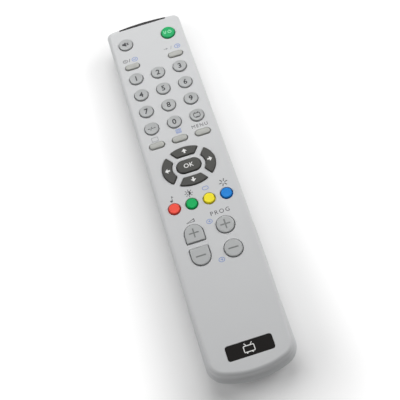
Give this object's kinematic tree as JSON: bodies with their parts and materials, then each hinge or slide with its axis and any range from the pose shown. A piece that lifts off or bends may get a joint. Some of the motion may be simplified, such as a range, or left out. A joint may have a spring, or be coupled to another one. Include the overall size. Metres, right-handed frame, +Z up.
{
  "type": "television remote control",
  "caption": "Slim light grey hand-held remote with round number keys, an oval arrow pad, coloured keys, a dark end plate and a sliding battery cover.",
  "frame": {"origin": "middle of the outline on the plane that the underside rests on", "axes": "+Y along the body towards the infrared head, +Z up out of the key face, +X to the right as the keys are read"},
  "size_m": [0.044, 0.215, 0.0197],
  "materials": {
    "case_grey": "fine satin moulded texture",
    "key_grey": "smooth satin, dished top",
    "key_pale": "smooth satin",
    "pad_grey": "smooth satin",
    "power_green": "smooth satin",
    "key_red": "smooth satin",
    "key_green": "smooth satin",
    "key_yellow": "smooth satin",
    "key_blue": "smooth satin",
    "plate_black": "smooth, slightly glossy",
    "window_dark": "polished, lets infrared through",
    "board_green": "laminate with a thin lacquer",
    "mat_rubber": "soft matt rubber",
    "chip_black": "moulded matt",
    "tinned_metal": "dull tin plating",
    "resonator_orange": "dipped coating",
    "capacitor_sleeve": "shrunk sleeve",
    "diode_lens": "clear tinted epoxy",
    "cell_jacket": "printed metal jacket, no print shown",
    "contact_metal": "nickel plated spring steel",
    "screw_metal": "zinc plated steel"
  },
  "bodies": {
    "housing": {"upper_case": "case_grey", "lower_case": "case_grey", "face_plate": "plate_black", "ir_window": "window_dark", "circuit_board": "board_green", "key_mat": "mat_rubber", "control_chip": "chip_black", "chip_leads": "tinned_metal", "resonator": "resonator_orange", "capacitor": "capacitor_sleeve", "transistor": "chip_black", "ir_diode": "diode_lens", "diode_leads": "tinned_metal", "cell_left": "cell_jacket", "cell_right": "cell_jacket", "bridge_contact": "contact_metal", "spring_contact": "contact_metal", "button_contact": "contact_metal", "case_screws": "screw_metal"},
    "battery_cover": {"battery_cover": "case_grey"},
    "key_mute": {"key_mute": "key_grey"},
    "key_power": {"key_power": "power_green"},
    "key_upper_left": {"key_upper_left": "key_pale"},
    "key_upper_right": {"key_upper_right": "key_pale"},
    "key_1": {"key_1": "key_grey"},
    "key_2": {"key_2": "key_grey"},
    "key_3": {"key_3": "key_grey"},
    "key_4": {"key_4": "key_grey"},
    "key_5": {"key_5": "key_grey"},
    "key_6": {"key_6": "key_grey"},
    "key_7": {"key_7": "key_grey"},
    "key_8": {"key_8": "key_grey"},
    "key_9": {"key_9": "key_grey"},
    "key_digits": {"key_digits": "key_grey"},
    "key_0": {"key_0": "key_grey"},
    "key_screen": {"key_screen": "key_grey"},
    "key_lower_left": {"key_lower_left": "key_pale"},
    "key_lower_middle": {"key_lower_middle": "key_pale"},
    "key_lower_right": {"key_lower_right": "key_pale"},
    "key_ok": {"key_ok": "pad_grey"},
    "key_red": {"key_red": "key_red"},
    "key_green": {"key_green": "key_green"},
    "key_yellow": {"key_yellow": "key_yellow"},
    "key_blue": {"key_blue": "key_blue"},
    "key_volume_up": {"key_volume_up": "key_grey"},
    "key_volume_down": {"key_volume_down": "key_grey"},
    "key_program_up": {"key_program_up": "key_grey"},
    "key_program_down": {"key_program_down": "key_grey"},
    "key_down": {"key_down": "pad_grey"},
    "key_left": {"key_left": "pad_grey"},
    "key_right": {"key_right": "pad_grey"},
    "key_up": {"key_up": "pad_grey"}
  },
  "joints": [
    {"name": "battery_cover_slide", "type": "slide", "parent": "housing", "child": "battery_cover", "axis": [0, -1, 0], "range_m": [0, 0.04]},
    {"name": "key_mute_press", "type": "slide", "parent": "housing", "child": "key_mute", "axis": [0, 0, -1], "range_m": [0, 0.001], "stiffness_N_per_m": 600},
    {"name": "key_power_press", "type": "slide", "parent": "housing", "child": "key_power", "axis": [0, 0, -1], "range_m": [0, 0.001], "stiffness_N_per_m": 600},
    {"name": "key_upper_left_press", "type": "slide", "parent": "housing", "child": "key_upper_left", "axis": [0, 0, -1], "range_m": [0, 0.001], "stiffness_N_per_m": 600},
    {"name": "key_upper_right_press", "type": "slide", "parent": "housing", "child": "key_upper_right", "axis": [0, 0, -1], "range_m": [0, 0.001], "stiffness_N_per_m": 600},
    {"name": "key_1_press", "type": "slide", "parent": "housing", "child": "key_1", "axis": [0, 0, -1], "range_m": [0, 0.001], "stiffness_N_per_m": 600},
    {"name": "key_2_press", "type": "slide", "parent": "housing", "child": "key_2", "axis": [0, 0, -1], "range_m": [0, 0.001], "stiffness_N_per_m": 600},
    {"name": "key_3_press", "type": "slide", "parent": "housing", "child": "key_3", "axis": [0, 0, -1], "range_m": [0, 0.001], "stiffness_N_per_m": 600},
    {"name": "key_4_press", "type": "slide", "parent": "housing", "child": "key_4", "axis": [0, 0, -1], "range_m": [0, 0.001], "stiffness_N_per_m": 600},
    {"name": "key_5_press", "type": "slide", "parent": "housing", "child": "key_5", "axis": [0, 0, -1], "range_m": [0, 0.001], "stiffness_N_per_m": 600},
    {"name": "key_6_press", "type": "slide", "parent": "housing", "child": "key_6", "axis": [0, 0, -1], "range_m": [0, 0.001], "stiffness_N_per_m": 600},
    {"name": "key_7_press", "type": "slide", "parent": "housing", "child": "key_7", "axis": [0, 0, -1], "range_m": [0, 0.001], "stiffness_N_per_m": 600},
    {"name": "key_8_press", "type": "slide", "parent": "housing", "child": "key_8", "axis": [0, 0, -1], "range_m": [0, 0.001], "stiffness_N_per_m": 600},
    {"name": "key_9_press", "type": "slide", "parent": "housing", "child": "key_9", "axis": [0, 0, -1], "range_m": [0, 0.001], "stiffness_N_per_m": 600},
    {"name": "key_digits_press", "type": "slide", "parent": "housing", "child": "key_digits", "axis": [0, 0, -1], "range_m": [0, 0.001], "stiffness_N_per_m": 600},
    {"name": "key_0_press", "type": "slide", "parent": "housing", "child": "key_0", "axis": [0, 0, -1], "range_m": [0, 0.001], "stiffness_N_per_m": 600},
    {"name": "key_screen_press", "type": "slide", "parent": "housing", "child": "key_screen", "axis": [0, 0, -1], "range_m": [0, 0.001], "stiffness_N_per_m": 600},
    {"name": "key_lower_left_press", "type": "slide", "parent": "housing", "child": "key_lower_left", "axis": [0, 0, -1], "range_m": [0, 0.001], "stiffness_N_per_m": 600},
    {"name": "key_lower_middle_press", "type": "slide", "parent": "housing", "child": "key_lower_middle", "axis": [0, 0, -1], "range_m": [0, 0.001], "stiffness_N_per_m": 600},
    {"name": "key_lower_right_press", "type": "slide", "parent": "housing", "child": "key_lower_right", "axis": [0, 0, -1], "range_m": [0, 0.001], "stiffness_N_per_m": 600},
    {"name": "key_ok_press", "type": "slide", "parent": "housing", "child": "key_ok", "axis": [0, 0, -1], "range_m": [0, 0.001], "stiffness_N_per_m": 600},
    {"name": "key_red_press", "type": "slide", "parent": "housing", "child": "key_red", "axis": [0, 0, -1], "range_m": [0, 0.001], "stiffness_N_per_m": 600},
    {"name": "key_green_press", "type": "slide", "parent": "housing", "child": "key_green", "axis": [0, 0, -1], "range_m": [0, 0.001], "stiffness_N_per_m": 600},
    {"name": "key_yellow_press", "type": "slide", "parent": "housing", "child": "key_yellow", "axis": [0, 0, -1], "range_m": [0, 0.001], "stiffness_N_per_m": 600},
    {"name": "key_blue_press", "type": "slide", "parent": "housing", "child": "key_blue", "axis": [0, 0, -1], "range_m": [0, 0.001], "stiffness_N_per_m": 600},
    {"name": "key_volume_up_press", "type": "slide", "parent": "housing", "child": "key_volume_up", "axis": [0, 0, -1], "range_m": [0, 0.001], "stiffness_N_per_m": 600},
    {"name": "key_volume_down_press", "type": "slide", "parent": "housing", "child": "key_volume_down", "axis": [0, 0, -1], "range_m": [0, 0.001], "stiffness_N_per_m": 600},
    {"name": "key_program_up_press", "type": "slide", "parent": "housing", "child": "key_program_up", "axis": [0, 0, -1], "range_m": [0, 0.001], "stiffness_N_per_m": 600},
    {"name": "key_program_down_press", "type": "slide", "parent": "housing", "child": "key_program_down", "axis": [0, 0, -1], "range_m": [0, 0.001], "stiffness_N_per_m": 600},
    {"name": "key_down_press", "type": "slide", "parent": "housing", "child": "key_down", "axis": [0, 0, -1], "range_m": [0, 0.001], "stiffness_N_per_m": 600},
    {"name": "key_left_press", "type": "slide", "parent": "housing", "child": "key_left", "axis": [0, 0, -1], "range_m": [0, 0.001], "stiffness_N_per_m": 600},
    {"name": "key_right_press", "type": "slide", "parent": "housing", "child": "key_right", "axis": [0, 0, -1], "range_m": [0, 0.001], "stiffness_N_per_m": 600},
    {"name": "key_up_press", "type": "slide", "parent": "housing", "child": "key_up", "axis": [0, 0, -1], "range_m": [0, 0.001], "stiffness_N_per_m": 600}
  ]
}
